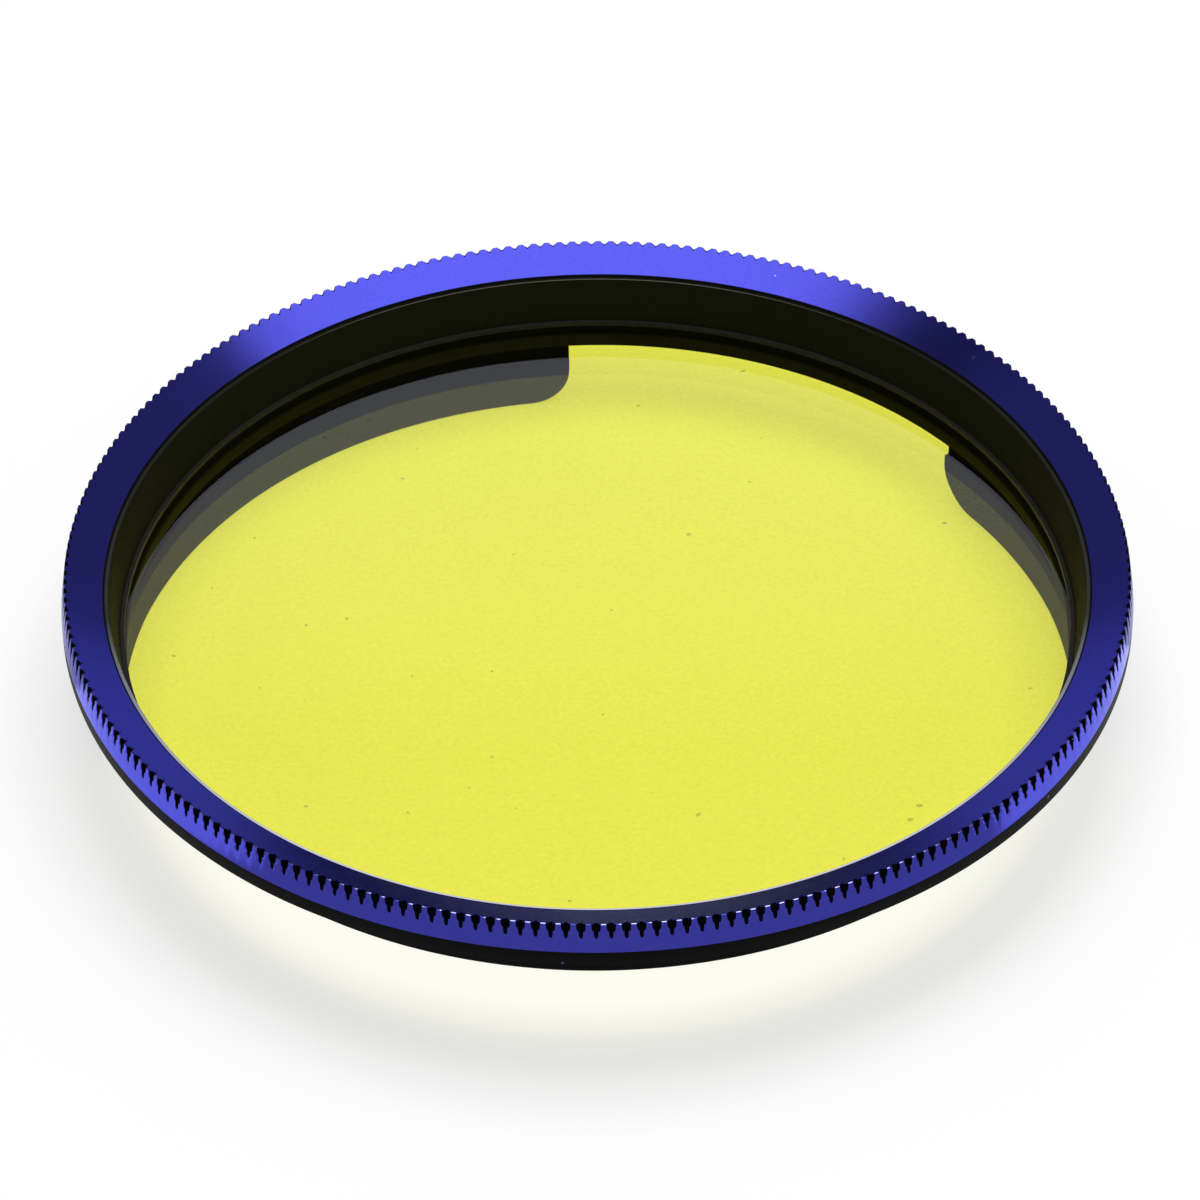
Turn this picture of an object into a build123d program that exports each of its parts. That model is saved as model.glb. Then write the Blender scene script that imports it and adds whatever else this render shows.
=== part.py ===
from build123d import *
import math
import os

# Slip-on lens filter: a turned and anodised ring, its coloured glass and the split ring that holds the glass.
# All sizes are in millimetres. The optical axis is Z, and z = 0 is the open end of the slip-on collar, which the
# filter stands on. The glass goes in from the front, through the funnel-shaped rim, and rests on an inner shelf.
# The collar below the shelf is cut away in two windows, which leaves two spring tongues that grip the barrel.

os.makedirs("parts", exist_ok=True)

# Slip-on collar
barrel_diameter = 42.0        # outside of the lens barrel that the filter slips over
slip_clearance = 0.1          # radial, between barrel and tongues
collar_wall = 0.5
collar_length = 3.7           # from the shoulder that stops the barrel to the open end
lead_in_width = 0.15          # bevel that guides the barrel in
lead_in_length = 0.35
relief_depth = 0.23           # groove in the corner between tongues and shoulder
relief_length = 1.1
tongue_corner_radius = 1.8
back_window_start = 40.0      # degrees about Z from +X, counter-clockwise seen from the front
back_window_end = 93.4
front_window_start = 188.0
front_window_end = 352.0

# Glass and its seat
seat_step = 0.15              # how much tighter the radius of the seat is than that of the collar
seat_clearance = 0.06         # radial, between glass and bore
glass_thickness = 1.1
glass_bevel = 0.05
shelf_width = 0.25            # what the shelf takes from the seat's radius
shelf_thickness = 0.6
shelf_bevel = 0.05            # on the lower inner edge of the shelf
base_bevel = 0.75             # on the lower outer edge of the ring, inside the windows

# Split ring above the glass
retainer_thickness = 0.2
retainer_width = 0.35
retainer_groove_depth = 0.2
retainer_clearance = 0.03     # radial, at the bottom of the groove
retainer_gap = 3.0            # opening of the split ring along its middle line
retainer_gap_angle = 270.0

# Front bore and knurled rim
bore_height = 2.1             # from the split ring up to the mouth of the bore
bore_flare = 0.38             # how much wider the radius is at the mouth
mouth_bevel = 0.12
front_face_width = 1.87       # from the mouth of the bore to the front edge of the rim
funnel_depth = 0.9            # height of the sloping front face
rim_draft = 0.2               # how much smaller the radius is at the front edge
draft_height = 1.37           # height of the drafted part of the rim, knurl included
skirt_height = 0.71           # height of the straight part below it
edge_break = 0.06
knurl_pitch = 0.61
knurl_depth = 0.24            # at the front edge of the rim
knurl_length = 0.74           # where the notches run out
knurl_angle = 84.0            # degrees, included angle of a notch

# Radii
collar_radius = barrel_diameter / 2 + slip_clearance
outer_radius = collar_radius + collar_wall
relief_radius = collar_radius + relief_depth
seat_radius = collar_radius - seat_step
glass_radius = seat_radius - seat_clearance
aperture_radius = seat_radius - shelf_width
retainer_groove_radius = seat_radius + retainer_groove_depth
retainer_radius = retainer_groove_radius - retainer_clearance
mouth_radius = seat_radius + bore_flare
rim_top_radius = mouth_radius + front_face_width
rim_radius = rim_top_radius + rim_draft
knurl_count = round(2 * math.pi * rim_top_radius / knurl_pitch)

# Heights
shoulder_z = collar_length
seat_z = shoulder_z + shelf_thickness
glass_top_z = seat_z + glass_thickness
retainer_top_z = glass_top_z + retainer_thickness
mouth_z = retainer_top_z + bore_height
rim_top_z = mouth_z + funnel_depth
skirt_top_z = rim_top_z - draft_height
skirt_bottom_z = skirt_top_z - skirt_height

overcut = 1.0                 # how far a cutter reaches past what it cuts


def turned(points, arc=360.0):
    """Revolve a closed outline, given as (radius, height) points, about the optical axis."""
    outline = make_face(Polyline(points, close=True))
    return revolve(Plane.XZ * outline, Axis.Z, revolution_arc=arc)


def turned_ring():
    """The ring as it leaves the lathe, before the knurl is rolled and the windows are milled."""
    funnel_slope = funnel_depth / front_face_width
    bore_slope = bore_flare / bore_height
    return turned([
        (collar_radius + lead_in_width, 0),
        (collar_radius, lead_in_length),
        (collar_radius, shoulder_z - relief_length),
        (relief_radius, shoulder_z - relief_length),
        (relief_radius, shoulder_z),
        (aperture_radius + shelf_bevel, shoulder_z),
        (aperture_radius, shoulder_z + shelf_bevel),
        (aperture_radius, seat_z),
        (seat_radius, seat_z),
        (seat_radius, glass_top_z),
        (retainer_groove_radius, glass_top_z),
        (retainer_groove_radius, retainer_top_z),
        (seat_radius, retainer_top_z),
        (mouth_radius - mouth_bevel * bore_slope, mouth_z - mouth_bevel),
        (mouth_radius + mouth_bevel, mouth_z + mouth_bevel * funnel_slope),
        (rim_top_radius, rim_top_z),
        (rim_radius, skirt_top_z),
        (rim_radius, skirt_bottom_z + edge_break),
        (rim_radius - edge_break, skirt_bottom_z),
        (outer_radius, skirt_bottom_z),
        (outer_radius, edge_break),
        (outer_radius - edge_break, 0),
    ])


def knurl_notches():
    """One V notch that is deepest at the front edge and runs out on the drafted rim, repeated round the rim."""
    runout_radius = rim_top_radius + rim_draft * knurl_length / draft_height
    deepest = Vector(rim_top_radius - knurl_depth, 0, rim_top_z)
    runout = Vector(runout_radius, 0, rim_top_z - knurl_length)
    floor_line = (runout - deepest).normalized()
    section_plane = Plane(origin=deepest - floor_line * overcut, x_dir=(0, 1, 0), z_dir=floor_line)
    outward = 1 if section_plane.y_dir.X > 0 else -1
    half_width = overcut * math.tan(math.radians(knurl_angle / 2))
    section = make_face(Polyline([
        (0, 0),
        (half_width, outward * overcut),
        (-half_width, outward * overcut),
    ], close=True))
    length = (runout - deepest).length + 2 * overcut
    notch = extrude(section_plane * section, length)
    return [place * notch for place in PolarLocations(0, knurl_count)]


def collar_window(start, end):
    """Cutter for one window: it clears the collar below the shoulder and bevels the edge of the ring above it."""
    cutter = turned([
        (aperture_radius - overcut, -overcut),
        (outer_radius + overcut, -overcut),
        (outer_radius + overcut, shoulder_z + base_bevel),
        (outer_radius, shoulder_z + base_bevel),
        (outer_radius - base_bevel, shoulder_z),
        (aperture_radius - overcut, shoulder_z),
    ], end - start)
    return Rot(0, 0, start) * cutter


def tongue_corner(angle, side):
    """Cutter that rounds the free corner of a tongue. The tongue lies on the given side of the angle."""
    edge_plane = Plane(origin=(0, 0, 0), x_dir=(0, side, 0), z_dir=(side, 0, 0))
    block = Pos(tongue_corner_radius / 2, tongue_corner_radius / 2) * Rectangle(
        tongue_corner_radius, tongue_corner_radius)
    spare = Pos(-overcut / 2, 0) * Rectangle(overcut, 2 * tongue_corner_radius)
    spare += Pos(0, -overcut / 2) * Rectangle(2 * tongue_corner_radius, overcut)
    rounding = Pos(tongue_corner_radius, tongue_corner_radius) * Circle(tongue_corner_radius)
    cutter = extrude(edge_plane * (block + spare - rounding), side * (outer_radius + overcut))
    return Rot(0, 0, angle) * cutter


def filter_ring():
    ring = turned_ring()
    for start, end in ((back_window_start, back_window_end), (front_window_start, front_window_end)):
        ring -= collar_window(start, end)
        ring -= [tongue_corner(start, -1), tongue_corner(end, 1)]
    return ring - knurl_notches()


def filter_glass():
    return turned([
        (0, seat_z),
        (glass_radius - glass_bevel, seat_z),
        (glass_radius, seat_z + glass_bevel),
        (glass_radius, glass_top_z - glass_bevel),
        (glass_radius - glass_bevel, glass_top_z),
        (0, glass_top_z),
    ])


def retaining_ring():
    """Flat spring ring in the groove above the glass, split so that it can be squeezed in."""
    inner_radius = retainer_radius - retainer_width
    gap_degrees = math.degrees(retainer_gap / (retainer_radius - retainer_width / 2))
    ring = turned([
        (inner_radius, glass_top_z),
        (retainer_radius, glass_top_z),
        (retainer_radius, retainer_top_z),
        (inner_radius, retainer_top_z),
    ], 360 - gap_degrees)
    return Rot(0, 0, retainer_gap_angle + gap_degrees / 2) * ring


def write(solid, name):
    solid.label = name
    export_step(solid, f"parts/{name}.step")


write(filter_ring(), "filter_ring")
write(filter_glass(), "filter_glass")
write(retaining_ring(), "retaining_ring")
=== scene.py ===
import math

import bmesh
import bpy
from mathutils import Matrix, Vector


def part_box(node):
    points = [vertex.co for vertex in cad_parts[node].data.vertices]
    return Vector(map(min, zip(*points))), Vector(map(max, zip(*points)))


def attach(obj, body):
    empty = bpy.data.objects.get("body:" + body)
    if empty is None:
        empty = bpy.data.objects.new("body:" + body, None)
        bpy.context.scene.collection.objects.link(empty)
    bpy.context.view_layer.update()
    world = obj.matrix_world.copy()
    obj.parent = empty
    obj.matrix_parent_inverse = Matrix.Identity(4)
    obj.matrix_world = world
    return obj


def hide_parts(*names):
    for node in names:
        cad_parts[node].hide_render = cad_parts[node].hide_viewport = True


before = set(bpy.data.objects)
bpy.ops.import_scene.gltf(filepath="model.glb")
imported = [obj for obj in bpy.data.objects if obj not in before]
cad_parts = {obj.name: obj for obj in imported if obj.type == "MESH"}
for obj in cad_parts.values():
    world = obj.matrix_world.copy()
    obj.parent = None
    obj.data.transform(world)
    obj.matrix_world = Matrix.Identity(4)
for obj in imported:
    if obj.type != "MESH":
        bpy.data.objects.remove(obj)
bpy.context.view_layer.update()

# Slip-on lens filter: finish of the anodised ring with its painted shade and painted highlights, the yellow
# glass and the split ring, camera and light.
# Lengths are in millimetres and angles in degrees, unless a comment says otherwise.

MM = 0.001

# Sizes read from the frame
ring_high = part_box("filter_ring")[1]
glass_low, glass_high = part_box("filter_glass")
retainer_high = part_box("retaining_ring")[1]
rim_radius = ring_high[0] / MM
rim_top_z = ring_high[2] / MM
glass_radius = glass_high[0] / MM
glass_bottom_z = glass_low[2] / MM
glass_top_z = glass_high[2] / MM
retainer_top_z = retainer_high[2] / MM

# Section of the pieces, as in the part's source
rim_draft = 0.2
draft_height = 1.37
skirt_height = 0.71
front_face_width = 1.87
funnel_depth = 0.9
seat_clearance = 0.06
shelf_width = 0.25
shelf_thickness = 0.6
seat_step = 0.15
collar_wall = 0.5
relief_depth = 0.23
relief_length = 1.1
lead_in_width = 0.15
lead_in_length = 0.35
base_bevel = 0.75
glass_bevel = 0.05
tongue_corner_radius = 1.8
tongue_spans = ((93.4, 188.0), (352.0, 400.0))
knurl_pitch = 0.61
knurl_depth = 0.24
knurl_length = 0.74
knurl_angle = 84.0

rim_top_radius = rim_radius - rim_draft
mouth_radius = rim_top_radius - front_face_width
mouth_z = rim_top_z - funnel_depth
funnel_slope = funnel_depth / front_face_width
seat_radius = glass_radius + seat_clearance
aperture_radius = seat_radius - shelf_width
collar_radius = seat_radius + seat_step
outer_radius = collar_radius + collar_wall
relief_radius = collar_radius + relief_depth
shoulder_z = glass_bottom_z - shelf_thickness
skirt_top_z = rim_top_z - draft_height
skirt_bottom_z = skirt_top_z - skirt_height
knurl_count = round(2 * math.pi * rim_top_radius / knurl_pitch)

# Land at the mouth of the bore, bare metal painted brighter towards the front as a painted highlight, and the
# dark line outside it
land_width = 0.16
land_rise = 0.03
land_step = 0.02
land_line = 0.25

# Small roundings and slopes, and how far a tongue reaches into the ring above it
inner_round = 0.03
outer_round = 0.035
rim_edge_break = 0.03
tongue_end_break = 0.05
tongue_overlap = 0.02
groove_slope = 0.01

# Detail of the meshes. One column of points lies on the floor line of each notch.
columns_per_notch = 6
rows_per_notch = 9
inner_steps = 3
outer_steps = 2
tongue_steps = 120
corner_steps = 10
glass_columns = 360
largest_share = 0.4           # share of an edge that a rounding at its end may take
knurl_zone = 0.3              # how far round the notches a point still belongs to the knurl
knurl_row_start = 0.32        # first row of the front face that the notches don't reach
top_edge_height = 0.06        # points this close below the front edge slide down the face as they move in
sharp_angle = 28              # faces that meet at more than this keep a crisp edge

# How far the limits of the finish, painted shade and painted highlights lie from the surfaces that they
# follow
notch_rim_margin = 0.01
notch_face_margin = 0.03
tip_margin = 0.035
relief_inner_margin = 0.04
relief_outer_margin = 0.02
relief_top_margin = 0.001
relief_bottom_margin = 0.01
blue_edge_margin = 0.01
land_side_margin = 0.005
land_bottom_margin = 0.012
nick_margin = 0.1
ground_edge_width = 0.07

# Levels of noise above which a tip gets a painted highlight and a nick or a speck shows
tip_level = 0.42
nick_level = 0.885
speck_level = 0.895

# The land is painted brighter, as a painted highlight, between these places along Y, as shares of the mouth's
# radius
land_highlight_start = -0.15
land_highlight_end = -0.85

# Roughness of the ring, and how high its grain stands
black_roughness = 0.60
metal_roughness = 0.17
dull_roughness = 0.9
roughness_variation = 0.03
grain_height = 0.01


def new_object(name, data):
    piece = bpy.data.objects.new(name, data)
    bpy.context.scene.collection.objects.link(piece)
    return piece


def new_point(mesh, radius, height, angle):
    """Vertex at a radius and height in millimetres and an angle in radians."""
    return mesh.verts.new((radius * math.cos(angle) * MM, radius * math.sin(angle) * MM, height * MM))


def finished(mesh, name, smooth=True):
    """Object made of a bmesh, with its faces turned outward."""
    bmesh.ops.recalc_face_normals(mesh, faces=mesh.faces)
    data = bpy.data.meshes.new(name)
    mesh.to_mesh(data)
    mesh.free()
    for polygon in data.polygons:
        polygon.use_smooth = smooth
    return new_object(name, data)


def sweep(mesh, columns, whole_turn):
    """Faces between neighbouring closed columns of points, with end caps where the turn isn't whole."""
    following = columns[1:] + columns[:1] if whole_turn else columns[1:]
    for a, b in zip(columns, following):
        for j in range(len(a)):
            k = (j + 1) % len(a)
            mesh.faces.new((a[j], b[j], b[k], a[k]))
    if not whole_turn:
        mesh.faces.new(columns[0])
        mesh.faces.new(list(reversed(columns[-1])))


def rounded(outline, radius, steps):
    """Closed (radius, height) outline with each corner replaced by a short arc."""
    result = []
    for i, point in enumerate(outline):
        here = Vector(point)
        before = Vector(outline[i - 1]) - here
        after = Vector(outline[(i + 1) % len(outline)]) - here
        reach = min(radius, largest_share * before.length, largest_share * after.length)
        start = here + before.normalized() * reach
        end = here + after.normalized() * reach
        for step in range(steps + 1):
            t = step / steps
            result.append(tuple((1 - t) ** 2 * start + 2 * t * (1 - t) * here + t ** 2 * end))
    return result


# The ring

def notch_depth(angle, height, surface_radius):
    """How far the knurl takes the rim's surface in at this angle and height."""
    pitch_angle = 2 * math.pi / knurl_count
    off_centre = (angle / pitch_angle + 0.5) % 1.0 - 0.5
    across = abs(off_centre) * pitch_angle * surface_radius
    floor_depth = knurl_depth * (1 - (rim_top_z - height) / knurl_length)
    return max(0.0, floor_depth - across / math.tan(math.radians(knurl_angle / 2)))


def knurled(radius, height, angle):
    """Radius and height of a point of the ring once the knurl has moved it in."""
    if radius < rim_top_radius - knurl_zone or height < rim_top_z - knurl_length - knurl_zone:
        return radius, height
    depth = notch_depth(angle, height, radius)
    drop = depth * funnel_slope if height > rim_top_z - top_edge_height else 0.0
    return radius - depth, height - drop


def on_front_face(from_edge):
    """Point of the sloping front face at a distance in from the front edge of the rim."""
    return rim_top_radius - from_edge, rim_top_z - from_edge * funnel_slope


def ring_outline():
    """Section of the ring above the shoulder, from the shelf's lower inner edge and round."""
    land_end = (mouth_radius + land_width, mouth_z + land_rise)
    step_width = land_width + land_step
    inside = rounded([
        (aperture_radius, shoulder_z),
        (aperture_radius, glass_bottom_z),
        (seat_radius, glass_bottom_z),
        (seat_radius, retainer_top_z),
        (mouth_radius, mouth_z),
        land_end,
    ], inner_round, inner_steps)[:-(inner_steps + 1)]
    face = [
        land_end,
        (mouth_radius + step_width, mouth_z + step_width * funnel_slope),
        on_front_face(knurl_row_start),
        on_front_face(rim_edge_break),
        (rim_top_radius, rim_top_z - rim_edge_break),
    ]
    downs = [knurl_length * row / rows_per_notch for row in range(1, rows_per_notch + 1)]
    drafted = [(rim_top_radius + rim_draft * down / draft_height, rim_top_z - down) for down in downs]
    outside = rounded([
        (rim_top_radius, rim_top_z),
        (rim_radius, skirt_top_z),
        (rim_radius, skirt_bottom_z),
        (outer_radius, skirt_bottom_z),
        (outer_radius, shoulder_z + base_bevel),
        (outer_radius - base_bevel, shoulder_z),
        (aperture_radius, shoulder_z),
    ], outer_round, outer_steps)[outer_steps + 1:-(outer_steps + 1)]
    return inside + face + drafted + outside


def ring_body():
    mesh = bmesh.new()
    outline = ring_outline()
    count = knurl_count * columns_per_notch
    columns = []
    for i in range(count):
        angle = 2 * math.pi * i / count
        points = [knurled(radius, height, angle) for radius, height in outline]
        columns.append([new_point(mesh, radius, height, angle) for radius, height in points])
    sweep(mesh, columns, whole_turn=True)
    return finished(mesh, "ring_body")


def tongue_section(low):
    """Section of a tongue whose free end is at the height low."""
    return [
        (collar_radius + lead_in_width, low),
        (collar_radius, low + lead_in_length),
        (collar_radius, shoulder_z - relief_length),
        (relief_radius, shoulder_z - relief_length + groove_slope),
        (relief_radius, shoulder_z + tongue_overlap),
        (outer_radius - tongue_overlap, shoulder_z + base_bevel + tongue_overlap),
        (outer_radius, shoulder_z + base_bevel),
        (outer_radius, low + tongue_end_break),
        (outer_radius - tongue_end_break, low),
    ]


def tongue(name, start, end):
    """One spring tongue with its two free corners rounded."""
    reach = math.degrees(tongue_corner_radius / collar_radius)
    eased = [reach * (1 - math.cos(math.pi / 2 * k / corner_steps)) for k in range(corner_steps + 1)]
    middle = [start + reach + (end - start - 2 * reach) * k / tongue_steps for k in range(1, tongue_steps)]
    degrees = [start + o for o in eased] + middle + [end - o for o in reversed(eased)]
    mesh = bmesh.new()
    columns = []
    for degree in degrees:
        into_corner = max(0.0, reach - min(degree - start, end - degree)) / reach
        low = tongue_corner_radius * (1 - math.sqrt(max(0.0, 1 - into_corner ** 2)))
        columns.append([new_point(mesh, r, z, math.radians(degree)) for r, z in tongue_section(low)])
    sweep(mesh, columns, whole_turn=False)
    return finished(mesh, name)


def joined(pieces, name):
    bpy.ops.object.select_all(action="DESELECT")
    for piece in pieces:
        piece.select_set(True)
    bpy.context.view_layer.objects.active = pieces[0]
    bpy.ops.object.join()
    whole = bpy.context.view_layer.objects.active
    whole.name = name
    whole.data.name = name
    return whole


# The glass

def glass_disc():
    mesh = bmesh.new()
    profile = [
        (glass_radius - glass_bevel, glass_bottom_z),
        (glass_radius, glass_bottom_z + glass_bevel),
        (glass_radius, glass_top_z - glass_bevel),
        (glass_radius - glass_bevel, glass_top_z),
    ]
    angles = [2 * math.pi * i / glass_columns for i in range(glass_columns)]
    rings = [[new_point(mesh, radius, height, angle) for angle in angles] for radius, height in profile]
    for low, high in zip(rings, rings[1:]):
        for i in range(glass_columns):
            k = (i + 1) % glass_columns
            mesh.faces.new((low[i], low[k], high[k], high[i]))
    mesh.faces.new(list(reversed(rings[0])))
    mesh.faces.new(rings[-1])
    return finished(mesh, "yellow_disc", smooth=False)


# Node helpers. A value that goes into a node is a number, a colour or another node's output.

def node_material(name):
    material = bpy.data.materials.new(name)
    material.use_nodes = True
    tree = material.node_tree
    tree.nodes.clear()
    return material, tree, tree.nodes.new("ShaderNodeOutputMaterial")


def add(tree, kind, **settings):
    node = tree.nodes.new(kind)
    for key, value in settings.items():
        setattr(node, key, value)
    return node


def feed(tree, node, socket, value):
    """Give an input of a node its value."""
    if isinstance(value, tuple):
        node.inputs[socket].default_value = value + (1,)
    elif isinstance(value, (int, float)):
        node.inputs[socket].default_value = value
    else:
        tree.links.new(value, node.inputs[socket])


def maths(tree, operation, *values):
    node = add(tree, "ShaderNodeMath", operation=operation)
    for index, value in enumerate(values):
        feed(tree, node, index, value)
    return node.outputs[0]


def mix_colour(tree, factor, first, second):
    node = add(tree, "ShaderNodeMix", data_type="RGBA")
    for socket, value in ((0, factor), (6, first), (7, second)):
        feed(tree, node, socket, value)
    return node.outputs[2]


def mix_shader(tree, factor, first, second):
    node = add(tree, "ShaderNodeMixShader")
    for socket, value in enumerate((factor, first.outputs[0], second.outputs[0])):
        feed(tree, node, socket, value)
    return node


def ramp(tree, value, start, end, low, high, kind="LINEAR"):
    node = add(tree, "ShaderNodeMapRange", interpolation_type=kind)
    for socket, number in enumerate((value, start, end, low, high)):
        feed(tree, node, socket, number)
    return node.outputs[0]


def noise(tree, place, scale, detail):
    node = add(tree, "ShaderNodeTexNoise")
    for socket, value in (("Scale", scale), ("Detail", detail), ("Vector", place)):
        feed(tree, node, socket, value)
    return node.outputs[0]


def coordinates(tree, space):
    """The coordinates as one vector, and its x, y and z."""
    place = add(tree, "ShaderNodeTexCoord").outputs[space]
    split = add(tree, "ShaderNodeSeparateXYZ")
    feed(tree, split, 0, place)
    return place, split.outputs[0], split.outputs[1], split.outputs[2]


def from_axis(tree, x, y):
    """Distance from the optical axis."""
    squares = [maths(tree, "MULTIPLY", value, value) for value in (x, y)]
    return maths(tree, "SQRT", maths(tree, "ADD", *squares))


def over(tree, value, limit):
    """Mask of what is more than a length in millimetres."""
    return maths(tree, "GREATER_THAN", value, limit * MM)


def under(tree, value, limit):
    """Mask of what is less than a length in millimetres."""
    return maths(tree, "LESS_THAN", value, limit * MM)


def all_of(tree, *masks):
    result = masks[0]
    for mask in masks[1:]:
        result = maths(tree, "MULTIPLY", result, mask)
    return result


def any_of(tree, *masks):
    result = masks[0]
    for mask in masks[1:]:
        result = maths(tree, "MAXIMUM", result, mask)
    return result


# Where the finish of the ring, its painted shade and its painted highlights change

def notch_mask(tree, radius, z):
    """The faces of the notches: what lies inside the rim's surface and below the front face."""
    below_top = maths(tree, "SUBTRACT", rim_top_z * MM, z)
    rim_start = (rim_top_radius - notch_rim_margin) * MM
    rim_surface = maths(tree, "MULTIPLY_ADD", below_top, rim_draft / draft_height, rim_start)
    inside_top = maths(tree, "SUBTRACT", rim_top_radius * MM, radius)
    face_start = (rim_top_z - notch_face_margin) * MM
    face_surface = maths(tree, "MULTIPLY_ADD", inside_top, -funnel_slope, face_start)
    return all_of(
        tree,
        maths(tree, "LESS_THAN", radius, rim_surface),
        maths(tree, "LESS_THAN", z, face_surface),
        over(tree, radius, rim_top_radius - knurl_zone),
        over(tree, z, skirt_top_z),
    )


def relief_mask(tree, radius, z):
    """The groove in the corner of the collar."""
    return all_of(
        tree,
        over(tree, radius, collar_radius + relief_inner_margin),
        under(tree, radius, relief_radius + relief_outer_margin),
        under(tree, z, shoulder_z + relief_top_margin),
        over(tree, z, shoulder_z - relief_length - relief_bottom_margin),
    )


def tip_mask(tree, radius, z):
    """The edge of the teeth at the front of the rim."""
    outermost = over(tree, radius, rim_top_radius - tip_margin)
    return all_of(tree, outermost, over(tree, z, rim_top_z - tip_margin))


def blue_mask(tree, radius, z):
    """The front face and the drafted part of the rim."""
    outside_land = over(tree, radius, mouth_radius + land_line)
    return all_of(tree, outside_land, over(tree, z, skirt_top_z - blue_edge_margin))


def land_mask(tree, radius, z):
    """The land at the mouth of the bore."""
    return all_of(
        tree,
        over(tree, radius, mouth_radius - land_side_margin),
        under(tree, radius, mouth_radius + land_width),
        over(tree, z, mouth_z - land_bottom_margin),
    )


def anodised_material():
    """Blue anodised aluminium on the front face and rim, blackened in the bore and on the collar. The band
    below the rim is painted black as painted shade, and the bore walls carry a painted yellow glow.
    """
    material, tree, output = node_material("blue_anodised")
    shader = add(tree, "ShaderNodeBsdfPrincipled")
    place, x, y, z = coordinates(tree, "Object")
    radius = from_axis(tree, x, y)
    blue = blue_mask(tree, radius, z)
    land = land_mask(tree, radius, z)
    notch = notch_mask(tree, radius, z)
    painted_shade_recesses = any_of(tree, notch, relief_mask(tree, radius, z))

    grain = noise(tree, place, scale=9000.0, detail=3.0)
    blotches = noise(tree, place, scale=900.0, detail=2.0)
    flecks = noise(tree, place, scale=3100.0, detail=0.0)
    blue_shades = mix_colour(tree, grain, (0.030, 0.031, 0.235), (0.043, 0.044, 0.335))
    # The outer band below the drafted rim takes this black as painted shade; the collar, tongues and
    # underside are blackened.
    black_finish_and_painted_shade = mix_colour(tree, grain, (0.0020, 0.0022, 0.0016), (0.0055, 0.0058, 0.0042))
    # The bore is black with a painted yellow glow, standing in for the yellow light that the glass throws on
    # its walls.
    bore_black_and_painted_glow = mix_colour(tree, grain, (0.0080, 0.0086, 0.0030), (0.0170, 0.0180, 0.0075))
    dark_shades = mix_colour(tree, under(tree, radius, mouth_radius), black_finish_and_painted_shade, bore_black_and_painted_glow)
    colour = mix_colour(tree, blue, dark_shades, blue_shades)
    # The notch faces and the relief groove are painted near-black as painted shade, and made dull.
    colour = mix_colour(tree, painted_shade_recesses, colour, (0.002, 0.002, 0.003))

    # Painted highlights on random tips of the teeth, small nicks, and a land painted brighter towards the
    # front as a painted highlight
    tip_painted_highlights = all_of(tree, tip_mask(tree, radius, z), maths(tree, "GREATER_THAN", blotches, tip_level))
    colour = mix_colour(tree, tip_painted_highlights, colour, (0.30, 0.31, 0.62))
    outside_mouth = over(tree, radius, mouth_radius + nick_margin)
    nicks = all_of(tree, maths(tree, "GREATER_THAN", flecks, nick_level), outside_mouth)
    colour = mix_colour(tree, nicks, colour, (0.20, 0.21, 0.45))
    # The land's colour runs from dark metal at the back to bright metal at the front: a painted highlight.
    land_highlight_ramp = ramp(tree, y, land_highlight_start * mouth_radius * MM, land_highlight_end * mouth_radius * MM, 0.0, 1.0)
    land_painted_highlight = mix_colour(tree, land_highlight_ramp, (0.05, 0.05, 0.04), (0.92, 0.90, 0.90))
    feed(tree, shader, "Base Color", mix_colour(tree, land, colour, land_painted_highlight))
    feed(tree, shader, "Specular IOR Level", 0.05)
    feed(tree, shader, "Specular Tint", (0.60, 0.61, 0.85))

    unnotched_blue = maths(tree, "SUBTRACT", blue, all_of(tree, notch, blue))
    metal = any_of(tree, land, unnotched_blue)
    feed(tree, shader, "Metallic", metal)
    even = ramp(tree, metal, 0.0, 1.0, black_roughness, metal_roughness)
    varied = maths(tree, "MULTIPLY_ADD", blotches, roughness_variation, even)
    feed(tree, shader, "Roughness", any_of(tree, varied, maths(tree, "MULTIPLY", painted_shade_recesses, dull_roughness)))

    bump = add(tree, "ShaderNodeBump")
    for socket, value in (("Strength", 0.04), ("Distance", grain_height * MM), ("Height", grain)):
        feed(tree, bump, socket, value)
    feed(tree, shader, "Normal", bump.outputs[0])
    feed(tree, output, "Surface", shader.outputs[0])
    return material


def glass_material():
    """Yellow glass with a blackened ground edge. Shadow and diffuse rays pass almost untinted."""
    material, tree, output = node_material("yellow_glass")
    place, x, y = coordinates(tree, "Object")[:3]
    radius = from_axis(tree, x, y)
    grain = noise(tree, place, scale=5200.0, detail=3.0)
    flecks = noise(tree, place, scale=2300.0, detail=0.0)
    specks = maths(tree, "GREATER_THAN", flecks, speck_level)
    shades = mix_colour(tree, grain, (0.80, 0.81, 0.065), (0.98, 0.98, 0.115))

    tinted = add(tree, "ShaderNodeBsdfPrincipled")
    feed(tree, tinted, "Base Color", mix_colour(tree, specks, shades, (0.38, 0.38, 0.05)))
    for socket, value in (("Roughness", 0.0), ("IOR", 1.52), ("Transmission Weight", 1.0)):
        feed(tree, tinted, socket, value)
    clear = add(tree, "ShaderNodeBsdfTransparent")
    feed(tree, clear, "Color", (0.97, 0.97, 0.80))
    edge = add(tree, "ShaderNodeBsdfDiffuse")
    feed(tree, edge, "Color", (0.006, 0.006, 0.004))

    rays = add(tree, "ShaderNodeLightPath").outputs
    body = mix_shader(tree, any_of(tree, rays["Is Shadow Ray"], rays["Is Diffuse Ray"]), tinted, clear)
    whole = mix_shader(tree, over(tree, radius, glass_radius - ground_edge_width), body, edge)
    feed(tree, output, "Surface", whole.outputs[0])
    return material


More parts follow.
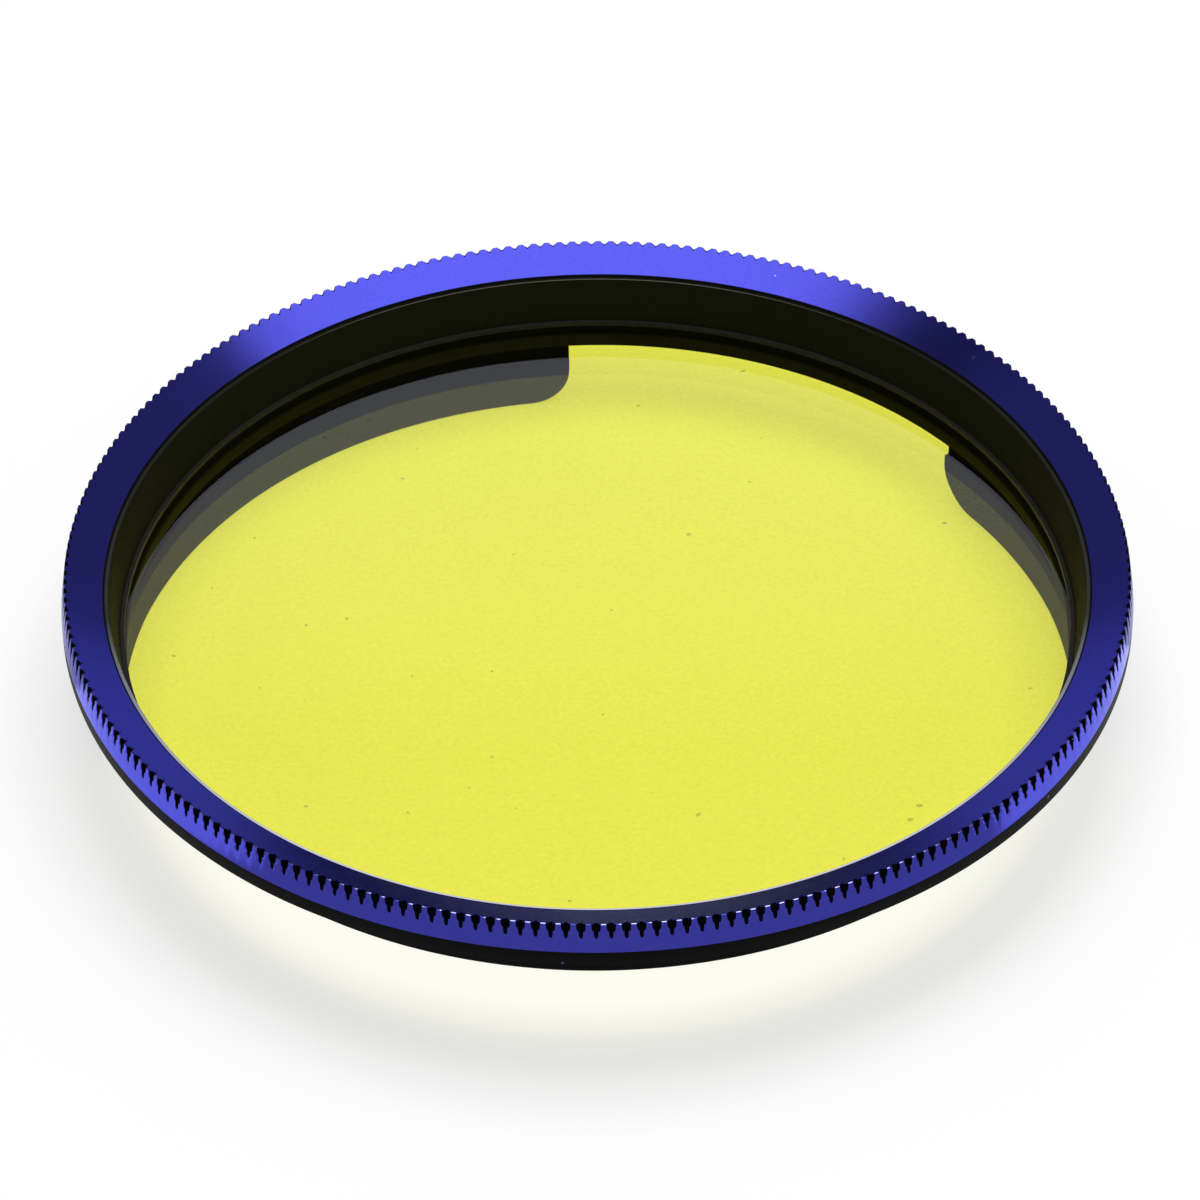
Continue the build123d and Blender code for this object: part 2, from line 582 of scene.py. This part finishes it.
def spring_material():
    """Blackened spring steel."""
    material, tree, output = node_material("dark_spring_steel")
    shader = add(tree, "ShaderNodeBsdfPrincipled")
    place = add(tree, "ShaderNodeTexCoord").outputs["Object"]
    grain = noise(tree, place, scale=2500.0, detail=2.0)
    feed(tree, shader, "Base Color", mix_colour(tree, grain, (0.010, 0.010, 0.009), (0.022, 0.022, 0.020)))
    for socket, value in (("Metallic", 0.0), ("Specular IOR Level", 0.15), ("Roughness", 0.5)):
        feed(tree, shader, socket, value)
    feed(tree, output, "Surface", shader.outputs[0])
    return material


def floor_material():
    """Pale floor. What sees it directly, or in metal and glass, gets some white added to its own."""
    material, tree, output = node_material("pale_floor")
    added_white = 0.60
    shader = add(tree, "ShaderNodeBsdfPrincipled")
    feed(tree, shader, "Base Color", (0.53, 0.53, 0.53))
    feed(tree, shader, "Roughness", 0.9)
    feed(tree, shader, "Specular IOR Level", 0.0)
    rays = add(tree, "ShaderNodeLightPath").outputs
    seen = any_of(tree, rays["Is Camera Ray"], rays["Is Glossy Ray"], rays["Is Transmission Ray"])
    white = add(tree, "ShaderNodeEmission")
    feed(tree, white, "Strength", maths(tree, "MULTIPLY", seen, added_white))
    both = add(tree, "ShaderNodeAddShader")
    feed(tree, both, 0, shader.outputs[0])
    feed(tree, both, 1, white.outputs[0])
    feed(tree, output, "Surface", both.outputs[0])
    return material


# Set the pieces on the frame

body = ring_body()
tongues = [tongue(f"tongue_{i}", start, end) for i, (start, end) in enumerate(tongue_spans)]
ring = joined([body] + tongues, "anodised_ring")
ring.data.set_sharp_from_angle(angle=math.radians(sharp_angle))
ring.data.materials.append(anodised_material())
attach(ring, "root")
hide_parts("filter_ring")

glass = glass_disc()
glass.data.materials.append(glass_material())
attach(glass, "root")
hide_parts("filter_glass")

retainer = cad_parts["retaining_ring"]
retainer.data.materials.clear()
retainer.data.materials.append(spring_material())

# Floor
floor_size = 3000.0


def floor_sheet():
    mesh = bmesh.new()
    bmesh.ops.create_grid(mesh, x_segments=1, y_segments=1, size=floor_size / 2 * MM)
    data = bpy.data.meshes.new("floor")
    mesh.to_mesh(data)
    mesh.free()
    data.materials.append(floor_material())
    return new_object("floor", data)


floor_sheet()

# Camera, high in front of the filter: aimed at the centre of the rim's front, then turned a little off it
camera_distance = 218.07
camera_elevation = 39.70
camera_side_turn = 0.03
camera_tilt = 0.52
camera_roll = 0.43
focal_length = 150.0
sensor_width = 36.0
nearest_seen = 10.0
farthest_seen = 20000.0


def photo_camera():
    data = bpy.data.cameras.new("camera")
    data.sensor_fit = "HORIZONTAL"
    data.sensor_width = sensor_width
    data.lens = focal_length
    data.clip_start = nearest_seen * MM
    data.clip_end = farthest_seen * MM
    camera = new_object("camera", data)
    cosine = math.cos(math.radians(camera_elevation))
    sine = math.sin(math.radians(camera_elevation))
    place = Vector((0, -camera_distance * cosine, camera_distance * sine + rim_top_z)) * MM
    aimed = Matrix(((1, 0, 0), (0, sine, cosine), (0, -cosine, sine)))
    for degrees, axis in ((camera_side_turn, "Y"), (camera_tilt, "X"), (camera_roll, "Z")):
        aimed = Matrix.Rotation(math.radians(degrees), 3, axis) @ aimed
    camera.matrix_world = Matrix.Translation(place) @ aimed.transposed().to_4x4()
    return camera


bpy.context.scene.camera = photo_camera()

# Lamps: name, place, direction of the light, width, depth and radiance. The strips lie low beside the filter.
lamps = (
    ("overhead_panel", (28, 5, 400), (0, 0, -1), 333, 310, 3.4),
    ("left_strip", (-31.5, -12, 0.3), (0, 0, 1), 9, 24, 1.4),
    ("right_strip", (31.5, -7, 0.3), (0, 0, 1), 9, 20, 1.4),
)


def soft_panel(name, place, facing, width, depth, radiance):
    data = bpy.data.lights.new(name, "AREA")
    data.shape = "RECTANGLE"
    data.size = width * MM
    data.size_y = depth * MM
    data.energy = radiance * math.pi * data.size * data.size_y
    panel = new_object(name, data)
    panel.location = Vector(place) * MM
    panel.rotation_euler = (-Vector(facing)).to_track_quat("Z", "Y").to_euler()
    panel.visible_camera = False
    panel.visible_transmission = False


for lamp in lamps:
    soft_panel(*lamp)

# Surroundings. Limits upward are sines of the elevation. Limits sideways are tangents of the turn from
# straight behind the filter.
even_strength = 0.33
even_fades = (0.79, 0.85)
backdrop_strength = 0.9
backdrop_fades_up = (0.62, 0.70)
backdrop_fades_aside = (0.38, 0.52)
least_depth = 0.001


def studio_world():
    """Even light below the overhead panel, a dark gap round it, and a white backdrop behind the filter."""
    world = bpy.data.worlds.new("studio")
    world.use_nodes = True
    tree = world.node_tree
    background = tree.nodes["Background"]
    x, y, z = coordinates(tree, "Generated")[1:]
    even = ramp(tree, z, *even_fades, even_strength, 0.0, kind="SMOOTHSTEP")
    aside = maths(tree, "DIVIDE", maths(tree, "ABSOLUTE", x), maths(tree, "MAXIMUM", y, least_depth))
    across = ramp(tree, aside, *backdrop_fades_aside, backdrop_strength, 0.0, kind="SMOOTHSTEP")
    backdrop = all_of(tree, across, ramp(tree, z, *backdrop_fades_up, 1.0, 0.0, kind="SMOOTHSTEP"))
    rays = add(tree, "ShaderNodeLightPath").outputs
    mirrored = all_of(tree, any_of(tree, rays["Is Glossy Ray"], rays["Is Transmission Ray"]), backdrop)
    feed(tree, background, "Strength", any_of(tree, even, mirrored, rays["Is Camera Ray"]))
    feed(tree, background, "Color", mix_colour(tree, mirrored, (1.0, 1.0, 1.0), (0.76, 0.79, 1.0)))
    return world


bpy.context.scene.world = studio_world()
bpy.context.scene.view_settings.view_transform = "Standard"
